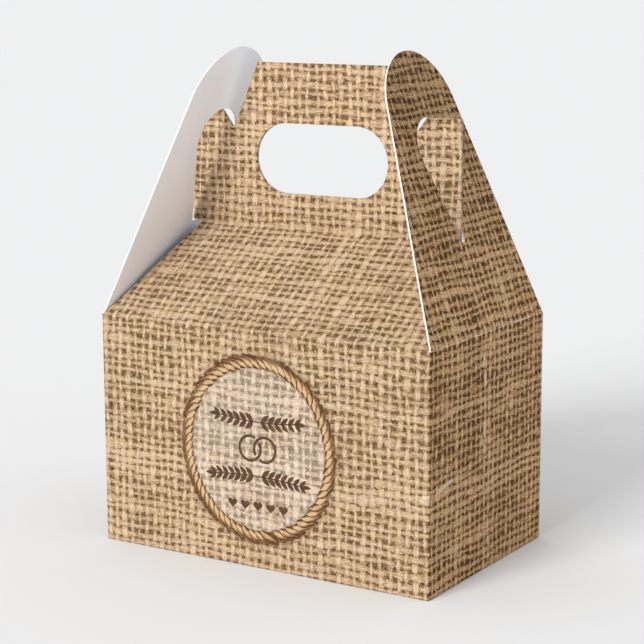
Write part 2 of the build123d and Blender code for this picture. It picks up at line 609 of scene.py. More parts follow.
def use_group(w, name, **inputs):
    """Places a shared shader group, made the first time, and returns its outputs."""
    group = bpy.data.node_groups.get(name) or SHADER_GROUPS[name]()
    node = w.add("ShaderNodeGroup", node_tree=group)
    for label, value in inputs.items():
        w.feed(node.inputs[label.replace("_", " ")], value)
    return {socket.name: Wire(w, socket) for socket in node.outputs}


# --- Finishes ------------------------------------------------------------------


def burlap_colour(w):
    """Burlap print of the back wall, the roof and the handle."""
    place = w.sheet_place()
    weave = use_group(w, "Burlap weave", Vector=place)["Color"]
    # painted light: the print is made a little paler towards the handle
    return use_group(
        w, "Tone up the sheet", Vector=place, Color=weave,
        Start=100 * MM, End=124 * MM, Tone=1.09,
    )["Color"]


def side_threads():
    """Inputs of the weave for the end walls and flaps."""
    colours = bpy.context.scene.favour_print
    return {
        "Light_thread": rgba(colours.side_light_thread),
        "Thread": rgba(colours.side_mid_thread),
        "Gap": rgba(colours.side_gap),
    }


def side_colour(w):
    """Burlap print of the end walls and flaps, in their own warmer weave colours."""
    place = w.sheet_place()
    weave = use_group(w, "Burlap weave", Vector=place, **side_threads())["Color"]
    # painted shade: the print is made deeper towards the tips of the flaps
    toned = use_group(
        w, "Tone up the sheet", Vector=place, Color=weave,
        Start=66 * MM, End=132 * MM, Tone=0.77,
    )["Color"]
    return use_group(w, "Straw slivers", Vector=place, Color=toned)["Color"]


def front_colour(w):
    """Burlap print with the pale ground and shadow of the rope ring."""
    ring = bpy.context.scene.favour_ring
    colours = bpy.context.scene.favour_print
    place = w.sheet_place()
    weave = use_group(w, "Burlap weave", Vector=place)["Color"]
    printed = use_group(w, "Straw slivers", Vector=place, Color=weave)["Color"]
    x, _, z = w.split(w.object_place())
    x, z = x - ring.centre_x, z - ring.centre_z
    across, up = x / ring.half_across, z / ring.half_up
    radius = w.math("SQRT", up * up + across * across)
    spread = ring.rope_width / (ring.half_across + ring.half_up)
    disc = w.ramp(radius, 1.0 - 1.6 * spread, 1.0, 1.0, 0.0)
    shadow = w.ramp(radius, 1.0, 1.0 + 2.1 * spread, 1.0, 0.0) * (1.0 - disc) * 0.75
    shaded = w.mix(shadow, printed, rgba(colours.gap))
    # the pale ground is cooler, cloudy, and thicker towards the left
    cooled = w.mix(1.0, shaded, (1.0, 1.02, 1.10, 1.0), "MULTIPLY")
    shaded = w.mix(disc, shaded, cooled)
    clouds = w.noise(w.vector(x, z, 0.0), 110.0, 2.0, 0.5)
    veil = disc * (0.19 + clouds.about(0.4)) + disc * (x * -1.5)
    return w.mix(veil, shaded, rgba(colours.vellum), "SCREEN")


def crease_colour(w, **threads):
    """Burlap print with cracks of bare card along a worked fold."""
    place = w.sheet_place()
    weave = use_group(w, "Burlap weave", Vector=place, **threads)["Color"]
    fold = w.attribute(FOLD_ATTRIBUTE)
    rubbed = use_group(w, "Rubbed fold", Vector=place, Fold=fold, Amount=0.65)["Mask"]
    return w.mix(rubbed, weave, rgba(bpy.context.scene.favour_print.worn))


def side_crease_colour(w):
    """The worked folds of the end flaps."""
    return crease_colour(w, **side_threads())


def board_colour(w):
    """Inside of the card: bare white board."""
    return rgba(bpy.context.scene.favour_print.board)


def edge_colour(w):
    """Cut edge of the card."""
    return rgba(bpy.context.scene.favour_print.cut_edge)


def ink_colour(w):
    """Dark ink of the emblem, thin where the weave shows through."""
    colours = bpy.context.scene.favour_print
    thin = w.ramp(w.noise(w.object_place(), 900.0, 3.0, 0.6), 0.5, 0.75)
    return w.mix(thin * 0.35, rgba(colours.ink), rgba(colours.mid_thread))


def rope_colour(w):
    """Printed rope: pale crown, dark flanks and a shaded outer side."""
    across, along = w.attribute("strand_across"), w.attribute("strand_along")
    tone = w.attribute("strand_tone")
    fibre = w.noise(w.vector(across * 2.6, along * 1.1, tone * 37.0), 1.0, 2.0, 0.7)
    crown = w.ramp(w.math("ABSOLUTE", across + 0.10), 0.05, 0.95, 1.0, 0.0)
    # the outer end of a strand turns away into shadow
    outer = w.ramp(along, -0.35, 0.95, 1.0, 0.0)
    light = crown * (outer * 0.75 + 0.25) + fibre.about(1.1) + tone.about(0.30)
    speck = w.noise(w.object_place(), 1300.0, 2.0, 0.8).about(1.0)
    light = w.math("ADD", light, speck, clamp=True)
    dark, flank = (0.075, 0.034, 0.013, 1.0), (0.240, 0.140, 0.064, 1.0)
    colour = w.mix(w.ramp(light, 0.0, 0.5), dark, flank)
    return w.mix(w.ramp(light, 0.35, 1.0), colour, (0.50, 0.345, 0.196, 1.0))


# what colours each finish, then its strength of grain, roughness and relief
FINISHES = {
    "Burlap print": (burlap_colour, 0.5, 0.62, 0.01 * MM),
    "Side print": (side_colour, 0.5, 0.62, 0.01 * MM),
    "Front print": (front_colour, 0.5, 0.62, 0.01 * MM),
    "Creased print": (crease_colour, 0.6, 0.66, 0.02 * MM),
    "Creased side print": (side_crease_colour, 0.6, 0.66, 0.02 * MM),
    "White board": (board_colour, 0.6, 0.7, 0.01 * MM),
    "Cut edge": (edge_colour, 0.9, 0.8, 0.02 * MM),
    "Emblem ink": (ink_colour, 0.8, 0.6, 0.01 * MM),
    "Rope print": (rope_colour, 0.4, 0.6, 0.01 * MM),
}


def new_material(name):
    """An empty material with its writer and its Principled shader."""
    material = bpy.data.materials.new(name)
    material.use_nodes = True
    material.node_tree.nodes.clear()
    w = NodeWriter(material.node_tree)
    shader = w.add("ShaderNodeBsdfPrincipled")
    shader.inputs["IOR"].default_value = 1.45
    shader.inputs["Specular IOR Level"].default_value = 0.05
    w.add("ShaderNodeOutputMaterial", {"Surface": Wire(w, shader.outputs[0])})
    return material, w, shader


def named_material(name):
    """A finish of this object, made the first time it is asked for."""
    if name in bpy.data.materials:
        return bpy.data.materials[name]
    draw, amount, roughness, relief = FINISHES[name]
    material, w, shader = new_material(name)
    colour = draw(w)
    grain = use_group(w, "Card grain", Amount=amount, Roughness=roughness)
    toned = w.mix(1.0, colour, grain["Tint"], "MULTIPLY")
    w.feed(shader.inputs["Base Color"], toned)
    w.feed(shader.inputs["Roughness"], grain["Roughness"])
    bump = {"Height": grain["Height"], "Distance": relief, "Strength": 0.5}
    w.feed(shader.inputs["Normal"], w.out("ShaderNodeBump", bump))
    return material


# --- Card panels ---------------------------------------------------------------


class Seat:
    """Where a flat panel sits: its outer face, and its place on the cut sheet.

    A panel that hangs runs down the sheet from the lower edge of its wall.
    """

    def __init__(self, origin, up, out, blank, hangs=False):
        self.origin = Vector(origin)
        self.up = Vector(up).normalized()
        self.out = Vector(out).normalized()
        self.along = self.up.cross(self.out)
        self.blank = blank
        self.way = -1.0 if hangs else 1.0

    def point(self, a, b, h):
        return self.origin + self.along * a + self.up * b + self.out * h

    def sheet(self, a, b):
        return self.blank[0] + self.way * a, self.blank[1] + self.way * b


class Fold:
    """A panel edge that bends through 45 degrees: a point on it and the way in."""

    def __init__(self, point, inward):
        self.point = Vector(point)
        self.inward = Vector(inward)
        self.half_turn = math.pi / 4
        self.width = bpy.context.scene.favour_card.corner_radius
        self.radius = self.width / math.tan(self.half_turn)

    def bend(self, a, b, h):
        d = (Vector((a, b)) - self.point).dot(self.inward)
        if d >= self.width:
            return a, b, h
        turn = self.half_turn * (1.0 - d / self.width)
        reach = self.radius + h
        shift = self.inward * (self.width - reach * math.sin(turn) - d)
        return a + shift.x, b + shift.y, reach * math.cos(turn) - self.radius


def inside(loops, x, y):
    """Even-odd test of a point against closed loops."""
    odd = False
    for loop in loops:
        for (x0, y0), (x1, y1) in zip(loop, loop[1:] + loop[:1]):
            if (y0 > y) != (y1 > y) and x < (x1 - x0) * (y - y0) / (y1 - y0) + x0:
                odd = not odd
    return odd


# where lines run beside a fold, as shares of its width
BESIDE_FOLD = (0.2, 0.4, 0.6, 0.8, 1.0, 1.35)


def guide_lines(rim, folds, step):
    """Straight lines through a panel: close beside folds, and an even net."""
    low_a, high_a = min(p[0] for p in rim), max(p[0] for p in rim)
    low_b, high_b = min(p[1] for p in rim), max(p[1] for p in rim)
    wide, tall = high_a - low_a, high_b - low_b
    lines = []
    for fold in folds:
        side = Vector((-fold.inward.y, fold.inward.x)) * (wide + tall)
        for share in BESIDE_FOLD:
            base = fold.point + fold.inward * fold.width * share
            lines.append((base - side, base + side))
    if step:
        for k in range(1, int(wide / step) + 1):
            a = low_a + k * step
            lines.append((Vector((a, low_b - step)), Vector((a, high_b + step))))
        for k in range(1, int(tall / step) + 1):
            b = low_b + k * step
            lines.append((Vector((low_a - step, b)), Vector((high_a + step, b))))
    return lines


def card_mesh(name, verts, polygons, skins, sheets, finishes):
    """A mesh with a finish on each face and each vertex's place on the sheet."""
    mesh = bpy.data.meshes.new(name)
    mesh.from_pydata(verts, [], polygons)
    for finish in finishes:
        mesh.materials.append(named_material(finish))
    mesh.polygons.foreach_set("material_index", skins)
    layer = mesh.uv_layers.new(name=WEAVE_UV)
    for corner in mesh.loops:
        layer.data[corner.index].uv = sheets[corner.vertex_index]
    return mesh


def card_panel(node, seat, loops, folds=(), face="Burlap print", bow=None,
               edge="Cut edge", joins=(), step=8.0 * MM):
    """One panel of card: printed face, white inside and cut edges, all closed.

    joins holds the heights of the edges that carry on into a crease.
    """
    name = f"{node}_card"
    points, edges = [], []
    for loop in loops:
        first, count = len(points), len(loop)
        points += [Vector(p) for p in loop]
        edges += [(first + k, first + (k + 1) % count) for k in range(count)]
    for start, end in guide_lines(loops[0], folds, step):
        edges.append((len(points), len(points) + 1))
        points += [start, end]
    flat, _, faces, *_ = delaunay_2d_cdt(points, edges, [], 0, 0.1 * NEAR)
    centres = [sum((flat[i] for i in f), Vector((0, 0))) / len(f) for f in faces]
    faces = [f for f, centre in zip(faces, centres) if inside(loops, *centre)]
    if not faces:
        raise RuntimeError(f"{name}: its outline holds no faces")
    used = sorted({i for f in faces for i in f})
    order = {i: k for k, i in enumerate(used)}
    faces = [[order[i] for i in f] for f in faces]
    places = [flat[i] for i in used]
    count = len(places)
    verts = []
    for depth in (0.0, -BOARD):
        for a, b in places:
            h = depth + (bow(a, b) if bow else 0.0)
            for fold in folds:
                a, b, h = fold.bend(a, b, h)
            verts.append(seat.point(a, b, h))
    runs = [run for f in faces for run in zip(f, f[1:] + f[:1])]
    shared = set(runs)
    sides = [(i, j) for i, j in runs if (j, i) not in shared]
    polygons = [tuple(f) for f in faces]
    polygons += [tuple(i + count for i in reversed(f)) for f in faces]
    polygons += [(j, i, i + count, j + count) for i, j in sides]

    def skin(i, j):
        """An edge that carries on into a crease is no cut edge."""
        ends = places[i][1], places[j][1]
        joined_on = any(max(abs(end - b) for end in ends) < NEAR for b in joins)
        return PRINTED if joined_on else CUT

    skins = [PRINTED] * len(faces) + [INSIDE] * len(faces)
    skins += [skin(i, j) for i, j in sides]
    sheets = [seat.sheet(a, b) for a, b in places] * 2
    finishes = (face, "White board", edge)
    mesh = card_mesh(name, verts, polygons, skins, sheets, finishes)
    finish_piece(name, mesh, node)


def finish_piece(name, mesh, node=None, body=None, smooth=38.0):
    """Shades a mesh, links it, and hangs it on its CAD body."""
    mesh.validate()
    if not mesh.polygons:
        raise RuntimeError(f"{name}: nothing was built")
    mesh.shade_smooth()
    mesh.set_sharp_from_angle(angle=math.radians(smooth))
    piece = bpy.data.objects.new(name, mesh)
    bpy.context.scene.collection.objects.link(piece)
    if node is not None:
        bodies = frame["record"]["behaviour"]["bodies"]
        body = next(body for body, nodes in bodies.items() if node in nodes)
    if body is not None:
        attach(piece, body)
    if node is not None:
        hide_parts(node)
    return piece


def arc(centre, radius, start, end, steps):
    """Points on an arc, angles in degrees, both ends included."""
    turns = [math.radians(start + (end - start) * k / steps) for k in range(steps + 1)]
    x, y = centre
    return [(x + radius * math.cos(t), y + radius * math.sin(t)) for t in turns]


def dished(low, high, amount):
    """A bow that is nothing on a panel's border and most in its middle."""

    def height(a, b):
        s = min(max((a - low[0]) / (high[0] - low[0]), 0.0), 1.0)
        t = min(max((b - low[1]) / (high[1] - low[1]), 0.0), 1.0)
        return amount * math.sin(math.pi * s) * math.sin(math.pi * t)

    return height


def front_bow():
    """The front wall is drawn in a little at its middle."""
    bow = bpy.context.scene.favour_card.bow
    return dished((-LENGTH / 2, 0), (LENGTH / 2, WALL), -bow)


def mirrored(right):
    """A closed outline from its right half, listed from the bottom up."""
    return right + [(-a, b) for a, b in reversed(right)]


def wall_seat(node):
    """The seat of one of the four walls, which run round the cut sheet."""
    out, start = {
        "front_wall": ((0, -1), 0.0),
        "right_wall": ((1, 0), (LENGTH + DEPTH) / 2),
        "back_wall": ((0, 1), LENGTH + DEPTH),
        "left_wall": ((-1, 0), -(LENGTH + DEPTH) / 2),
    }[node]
    origin = (out[0] * LENGTH / 2, out[1] * DEPTH / 2, 0)
    return Seat(origin, (0, 0, 1), (*out, 0), (start, 0.0))


def roof_seat(side):
    """side is -1 for the front half and 1 for the back half."""
    c, s = math.cos(ROOF_PITCH), math.sin(ROOF_PITCH)
    origin = (0, side * DEPTH / 2, WALL)
    return Seat(origin, (0, -side * c, s), (0, side * s, c), (SHEET_START[side], WALL))


def handle_seat(side):
    """side is -1 for the front panel and 1 for the back panel."""
    blank = (SHEET_START[side], WALL + ROOF_SLANT)
    return Seat((0, side * RIDGE_Y, RIDGE_Z), (0, 0, 1), (0, side, 0), blank)


def flap_seat(side):
    """side is -1 for the left flap and 1 for the right flap."""
    lean = bpy.context.scene.favour_card.flap_lean
    c, s = math.cos(lean), math.sin(lean)
    blank = (side * (LENGTH + DEPTH) / 2, WALL)
    return Seat((side * LENGTH / 2, 0, WALL), (-side * s, 0, c), (side * c, 0, s), blank)


# half the faces of a crease strip across it, and all of them along it
CREASE_STEPS, CREASE_RUNS = 6, 24


def crease_strip(name, low, high, half, wear, face, folds_out=True):
    """The bent card on a hinged crease, from the lower panel to the upper one.

    low and high are the seats of the two panels. The crease is where high starts.
    """
    width = bpy.context.scene.favour_card.crease_half
    into_low, into_high = -low.up, high.up
    half_turn = (math.pi - into_low.angle(into_high)) / 2
    radius = width / math.tan(half_turn)
    sign = 1.0 if folds_out else -1.0
    steps, runs = CREASE_STEPS, CREASE_RUNS
    # each row of vertices goes along the outside and comes back along the inside
    row = 2 * (runs + 1)
    layers = ((0.0, range(runs + 1)), (-BOARD, range(runs, -1, -1)))
    verts, sheets, worn = [], [], []
    for k in range(-steps, steps + 1):
        flatness = abs(k) / steps
        seat, into = (low, into_low) if k < 0 else (high, into_high)
        turn = half_turn * (1.0 - flatness)
        for depth, order in layers:
            reach = radius + sign * depth
            moved_in = width - reach * math.sin(turn)
            rise = sign * (reach * math.cos(turn) - radius)
            for m in order:
                a = -half + 2 * half * m / runs
                spot = high.origin + high.along * a + into * moved_in + seat.out * rise
                verts.append(spot)
                sheets.append(high.sheet(a, width * k / steps))
                worn.append(wear * (1.0 - flatness))
    polygons, skins = [], []
    for first in range(0, 2 * steps * row, row):
        for i in range(row):
            j = (i + 1) % row
            polygons.append((first + i, first + j, first + row + j, first + row + i))
            on_end = i in (runs, row - 1)
            skins.append(CUT if on_end else PRINTED if i < runs else INSIDE)
    last = 2 * steps * row
    for m in range(runs):
        n = row - 1 - m
        polygons.append((n, n - 1, m + 1, m))
        polygons.append((last + m, last + m + 1, last + n - 1, last + n))
        skins += [PRINTED, PRINTED]
    finishes = (face, "White board", "Cut edge")
    mesh = card_mesh(name, verts, polygons, skins, sheets, finishes)
    rubbing = mesh.attributes.new(FOLD_ATTRIBUTE, "FLOAT", "POINT")
    rubbing.data.foreach_set("value", worn)
    piece = finish_piece(name, mesh)
    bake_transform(piece)


# --- Operators -----------------------------------------------------------------


class FAVOURBOX_OT_walls(bpy.types.Operator):
    """Build the four printed walls, rounded where they fold into each other"""

    bl_idname = "favourbox.walls"
    bl_label = "Walls"

    def execute(self, context):
        card = context.scene.favour_card
        crease = card.crease_half
        long_wall = (LENGTH / 2, card.roof_eave_half)
        end_wall = (DEPTH / 2, card.flap_base_half)
        for node, face, bow, (half, hinge_half) in (
            ("front_wall", "Front print", front_bow(), long_wall),
            ("right_wall", "Side print", None, end_wall),
            ("back_wall", "Burlap print", None, long_wall),
            ("left_wall", "Side print", None, end_wall),
        ):
            # the wall is let down along its hinged top crease
            rim = mirrored([
                (half, 0.0), (half, WALL), (hinge_half, WALL), (hinge_half, WALL - crease)
            ])
            folds = [
                Fold((-half, 0), (1, 0)), Fold((half, 0), (-1, 0)), Fold((0, 0), (0, 1))
            ]
            card_panel(
                node, wall_seat(node), [rim], folds, face, bow,
                joins=(0.0, WALL - crease),
            )
        return {"FINISHED"}


class FAVOURBOX_OT_base(bpy.types.Operator):
    """Build the interlocking base panels, their side panels and the glue flap"""

    bl_idname = "favourbox.base"
    bl_label = "Base"

    lock_reach: a_length(
        "Lock reach", "How far each main panel passes the middle of the base", 9.0
    )
    lock_gap: a_length("Lock gap", "Gap between the two main panels", 0.1)
    side_cut: a_length(
        "Side panel cut", "How far the side panels' inner corners are cut back", 16.0
    )
    glue_cut: a_length(
        "Glue flap cut", "How far the glue flap's free corners are cut back", 3.85
    )

    def execute(self, context):
        half_l, half_d, half_round = LENGTH / 2, DEPTH / 2, (LENGTH + DEPTH) / 2
        reach, gap = self.lock_reach, self.lock_gap / 2
        near, far = half_d - reach - gap, half_d + reach - gap
        rim = [
            (-half_l, 0.0), (half_l, 0.0), (half_l, far),
            (reach + gap, far), (-reach + gap, near), (-half_l, near),
        ]
        folds = [
            Fold((0, 0), (0, 1)), Fold((-half_l, 0), (1, 0)), Fold((half_l, 0), (-1, 0))
        ]
        down = (0, 0, -1)
        for side, node in ((-1, "base_front"), (1, "base_back")):
            origin, blank = (0, side * half_d, 0), (SHEET_START[side], 0.0)
            seat = Seat(origin, (0, -side, 0), down, blank, True)
            card_panel(node, seat, [rim], folds, joins=(0.0,))
        for side, node in ((-1, "base_left"), (1, "base_right")):
            low, high = box_size(node)
            depth, half, cut = high.x - low.x, (high.y - low.y) / 2, self.side_cut
            origin, blank = (side * (half_l - BOARD), 0, BOARD), (side * half_round, 0)
            seat = Seat(origin, (-side, 0, 0), down, blank, True)
            rim = mirrored([(half, 0.0), (half - cut, depth)])
            card_panel(node, seat, [rim])
        low, high = box_size("glue_flap")
        blank = (3.0 * half_round, 0.0)
        seat = Seat((high.x, high.y, low.z), (0, 0, 1), (0, 1, 0), blank)
        width, tall, cut = high.x - low.x, high.z - low.z, self.glue_cut
        rim = [(0.0, 0.0), (width, cut), (width, tall - cut), (0.0, tall)]
        card_panel("glue_flap", seat, [rim])
        return {"FINISHED"}


class FAVOURBOX_OT_roof(bpy.types.Operator):
    """Build the two sloping roof halves"""

    bl_idname = "favourbox.roof"
    bl_label = "Roof halves"

    def execute(self, context):
        card = context.scene.favour_card
        low, high = card.crease_half, ROOF_SLANT - card.crease_half
        taper = (card.roof_eave_half - card.roof_ridge_half) / ROOF_SLANT * low
        low_half, high_half = card.roof_eave_half - taper, card.roof_ridge_half + taper
        rim = mirrored([(low_half, low), (high_half, high)])
        bow = dished((-low_half, low), (low_half, ROOF_SLANT), card.bow)
        for side, node in ((-1, "roof_front"), (1, "roof_back")):
            card_panel(node, roof_seat(side), [rim], bow=bow, joins=(low, high))
        return {"FINISHED"}


# from an ear's inner corner, down into the notch and out again, in millimetres
HANDLE_SHOULDER = (
    (32.2, 31.7), (28.9, 27.4), (28.4, 27.05), (27.9, 27.15), (27.6, 27.6)
)
HANDLE_TOP_HALF = 20.0 * MM


class FAVOURBOX_OT_handle(bpy.types.Operator):
    """Build the two handle panels with their square ears and hand hole"""

    bl_idname = "favourbox.handle"
    bl_label = "Handle panels"

    ear_half: a_length(
        "Ear reach", "From the middle of the handle to an ear's outer edge", 42.2
    )
    ear_height: a_length("Ear height", "From the ridge to the top of an ear", 31.7)
    hole_length: a_length(
        "Hand hole length", "Overall length of the hand hole", 41.4
    )
    hole_height: a_length(
        "Hand hole height", "Overall height of the hand hole", 19.0
    )
    hole_centre: a_length(
        "Hand hole centre", "From the ridge to the middle of the hand hole", 19.05
    )

    def execute(self, context):
        card = context.scene.favour_card
        crease = card.crease_half
        rim = mirrored([
            (card.roof_ridge_half, crease),
            (self.ear_half, crease),
            (self.ear_half, self.ear_height),
            *((a * MM, b * MM) for a, b in HANDLE_SHOULDER),
            (HANDLE_TOP_HALF, HANDLE_TOP - RIDGE_Z),
        ])
        radius = self.hole_height / 2
        reach = self.hole_length / 2 - radius
        hole = arc((reach, self.hole_centre), radius, -90, 90, 20)
        hole += arc((-reach, self.hole_centre), radius, 90, 270, 20)
        for side, node in ((-1, "handle_front"), (1, "handle_back")):
            card_panel(
                node, handle_seat(side), [rim, hole], step=0, joins=(crease,),
                edge="Burlap print",
            )
        return {"FINISHED"}


class FAVOURBOX_OT_end_flaps(bpy.types.Operator):
    """Build the two leaning end flaps with their teardrop holes"""

    bl_idname = "favourbox.end_flaps"
    bl_label = "End flaps"

    hole_radius: a_length(
        "Hole radius", "Radius of the round top of the teardrop hole", 8.5
    )
    hole_centre: a_length(
        "Hole centre", "From the crease to the centre of the hole's round top", 48.9
    )
    point_radius: a_length(
        "Point radius", "Radius at the hole's narrow lower end", 0.85
    )
    point_centre: a_length(
        "Point centre", "From the crease to the centre of the narrow end", 24.5
    )

    def execute(self, context):
        card = context.scene.favour_card
        crease, base, radius = card.crease_half, card.flap_base_half, card.flap_tip_radius
        tip = card.flap_length - radius
        # where a straight side meets the round tip
        turn = math.atan2(base, tip) + math.acos(radius / math.hypot(base, tip))
        start = math.degrees(turn) - 90.0
        crown = arc((0.0, tip), radius, start, 180.0 - start, 40)
        edge = Vector(crown[0]) - Vector((base, 0.0))
        shoulder = Vector((base, 0.0)) + edge * (crease / edge.y)
        rim = [(-shoulder.x, crease), (shoulder.x, crease)] + crown
        top, point = self.hole_radius, self.point_radius
        spread = math.asin((top - point) / (self.hole_centre - self.point_centre))
        spread = math.degrees(spread)
        hole = arc((0.0, self.hole_centre), top, -spread, 180 + spread, 36)
        hole += arc((0.0, self.point_centre), point, 180 + spread, 360 - spread, 12)
        bow = dished((-base, crease), (base, card.flap_length), card.bow)
        for side, node in ((-1, "end_flap_left"), (1, "end_flap_right")):
            card_panel(
                node, flap_seat(side), [rim, hole], (), "Side print", bow,
                joins=(crease,),
            )
        return {"FINISHED"}


class FAVOURBOX_OT_creases(bpy.types.Operator):
    """Build the bent card on the six hinged creases"""

    bl_idname = "favourbox.creases"
    bl_label = "Hinged creases"

    roof_wear: FloatProperty(
        name="Roof wear",
        description="How far the print is cracked off the roof and handle creases",
        default=0.72,
    )
    flap_wear: FloatProperty(
        name="Flap wear",
        description="How far the print is cracked off the end flap creases",
        default=1.12,
    )

    def execute(self, context):
        card = context.scene.favour_card
        for side, word in ((-1, "front"), (1, "back")):
            wall, roof = wall_seat(f"{word}_wall"), roof_seat(side)
            crease_strip(
                f"eave_crease_{word}", wall, roof,
                card.roof_eave_half, self.roof_wear, "Creased print",
            )
            crease_strip(
                f"ridge_crease_{word}",
                roof, handle_seat(side),
                card.roof_ridge_half, self.roof_wear, "Creased print", False,
            )
        for side, word in ((-1, "left"), (1, "right")):
            crease_strip(
                f"end_flap_crease_{word}",
                wall_seat(f"{word}_wall"), flap_seat(side),
                card.flap_base_half, self.flap_wear, "Creased side print",
            )
        return {"FINISHED"}


# --- Printed ring and emblem ---------------------------------------------------


def geometry_group(name, inputs):
    """A geometry tree that takes named inputs, ink height and finish among them."""
    return GroupWriter(name, "GeometryNodeTree", inputs, {"Geometry": "Geometry"})


def unit_grid(w, columns, rows):
    """A flat grid from -1 to 1 both ways, and its two runs."""
    inputs = {"Size X": 2.0, "Size Y": 2.0, "Vertices X": columns, "Vertices Y": rows}
    grid = w.out("GeometryNodeMeshGrid", inputs, "Mesh")
    along, across, _ = w.split(w.out("GeometryNodeInputPosition"))
    return grid, along, across


def flat_strip(w, steps, place):
    """A strip laid out by place, which turns two runs of -1 to 1 into x and y."""
    grid, along, across = unit_grid(w, steps, 3)
    return moved(w, grid, *place(along, across))


def moved(w, shape, x, y, z=0.0):
    inputs = {"Geometry": shape, "Position": w.vector(x, y, z)}
    return w.out("GeometryNodeSetPosition", inputs)


def marked(w, shape, name, value):
    """Keeps a value on the points of a shape for its material."""
    inputs = {"Geometry": shape, "Name": name, "Value": value}
    return w.out(
        "GeometryNodeStoreNamedAttribute", inputs, data_type="FLOAT", domain="POINT"
    )


def raised(w, flat):
    """Gives a flat shape its ink height and closes it underneath."""
    inputs = {"Mesh": flat, "Offset Scale": w.given["Ink height"], "Individual": False}
    lifted = w.out("GeometryNodeExtrudeMesh", inputs)
    closed = joined(w, lifted, w.out("GeometryNodeFlipFaces", {0: flat}))
    return w.out("GeometryNodeMergeByDistance", {"Geometry": closed, "Distance": NEAR})


def joined(w, *shapes):
    node = w.add("GeometryNodeJoinGeometry")
    for shape in shapes:
        w.feed(node.inputs[0], shape)
    return Wire(w, node.outputs[0])


def on_points(w, shape, points, turn=0.0, size=1.0):
    """A copy of a shape on every point, turned and sized within the drawing."""
    inputs = {
        "Points": points,
        "Instance": shape,
        "Rotation": w.vector(0.0, 0.0, turn),
        "Scale": w.vector(size, size, 1.0),
    }
    return w.out("GeometryNodeInstanceOnPoints", inputs)


def painted(w, shape):
    """The end of every tree: real geometry with its material on."""
    real = w.out("GeometryNodeRealizeInstances", {"Geometry": shape})
    inputs = {"Geometry": real, "Material": w.given["Finish"]}
    return w.give(Geometry=w.out("GeometryNodeSetMaterial", inputs))


def grown_mesh(name, group, values):
    """Runs a geometry tree with the given inputs and returns the plain mesh."""
    seed_mesh = bpy.data.meshes.new(f"{name}_seed")
    seed = bpy.data.objects.new(f"{name}_seed", seed_mesh)
    bpy.context.scene.collection.objects.link(seed)
    modifier = seed.modifiers.new("Grow", "NODES")
    modifier.node_group = group
    for item in group.interface.items_tree:
        if item.item_type == "SOCKET" and item.in_out == "INPUT":
            modifier[item.identifier] = values[item.name]
    view = bpy.context.evaluated_depsgraph_get()
    mesh = bpy.data.meshes.new_from_object(
        seed.evaluated_get(view), preserve_all_data_layers=True, depsgraph=view
    )
    if not mesh.polygons:
        raise RuntimeError(f"{name}: its geometry tree gave no faces")
    mesh.name = name
    bpy.data.objects.remove(seed)
    bpy.data.meshes.remove(seed_mesh)
    return mesh


def rope_tree(inputs):
    """Strands of rope laid slantwise round an oval."""
    w = geometry_group("Rope ring", inputs)
    given = w.given
    grid, along, across = unit_grid(w, 13, 7)
    kept = marked(w, grid, "strand_along", along)
    kept = marked(w, kept, "strand_across", across)
    # a strand is a leaf: widest in the middle, drawn to a blunt point
    full = w.math("POWER", w.math("MAXIMUM", 1.02 - along * along, 0.0), 0.55)
    sway = w.math("SINE", along * 2.4) * 0.35
    y = (across * full + sway) * (given["Strand width"] * 0.5)
    strand = raised(w, moved(w, kept, along * (given["Strand length"] * 0.5), y))

    turn = 2.0 * math.pi / given["Strands"]
    points = w.out("GeometryNodePoints", {"Count": given["Strands"]})
    number = w.out("GeometryNodeInputIndex")
    draw = w.add(
        "FunctionNodeRandomValue",
        {"Min": -0.5, "Max": 0.5, "Seed": given["Seed"]},
        data_type="FLOAT",
    )
    shake = Wire(w, next(socket for socket in draw.outputs if socket.enabled))
    angle = number * turn + given["Join"] + shake * (turn * 0.35)
    x = w.math("COSINE", angle) * given["Half across"]
    y = w.math("SINE", angle) * given["Half up"]
    # each strand lies a hair above the one before
    spread = moved(w, points, x, y, number * (0.0003 * MM))
    spread = marked(w, spread, "strand_tone", shake + 0.5)
    facing = angle + math.pi / 2 + (shake * 0.25 - given["Slant"])
    return painted(w, on_points(w, strand, spread, facing))


# gap that keeps printed shapes from cutting into the card
CLEAR_OF_CARD = 0.01 * MM


def on_front(mesh):
    """Stands a flat drawing up against the front wall, about the ring's centre."""
    ring = bpy.context.scene.favour_ring
    bow = front_bow()
    for vertex in mesh.vertices:
        x, z = vertex.co.x + ring.centre_x, vertex.co.y + ring.centre_z
        vertex.co = (x, -DEPTH / 2 - bow(x, z) - CLEAR_OF_CARD - vertex.co.z, z)
    mesh.update()
    finish_piece(mesh.name, mesh, body="box", smooth=30.0)


class FAVOURBOX_OT_rope_ring(bpy.types.Operator):
    """Print the rope ring on the front wall, strand by strand"""

    bl_idname = "favourbox.rope_ring"
    bl_label = "Rope ring"

    slant: an_angle("Slant", "Angle between a strand and the line of the rope", 37.0)
    join: an_angle(
        "Join", "Where the rope meets itself, turned from the right-hand side", -74.0
    )
    seed: IntProperty(
        name="Seed", description="Start of the random differences", default=7
    )

    def execute(self, context):
        ring = context.scene.favour_ring
        inputs = {
            "Half across": ring.half_across,
            "Half up": ring.half_up,
            "Strands": ring.strands,
            "Strand length": 1.95 * ring.rope_width,
            "Strand width": 0.80 * ring.rope_width,
            "Slant": self.slant,
            "Join": self.join,
            "Ink height": ring.ink_height,
            "Seed": self.seed,
            "Finish": named_material("Rope print"),
        }
        on_front(grown_mesh("rope_ring", rope_tree(inputs), inputs))
        return {"FINISHED"}


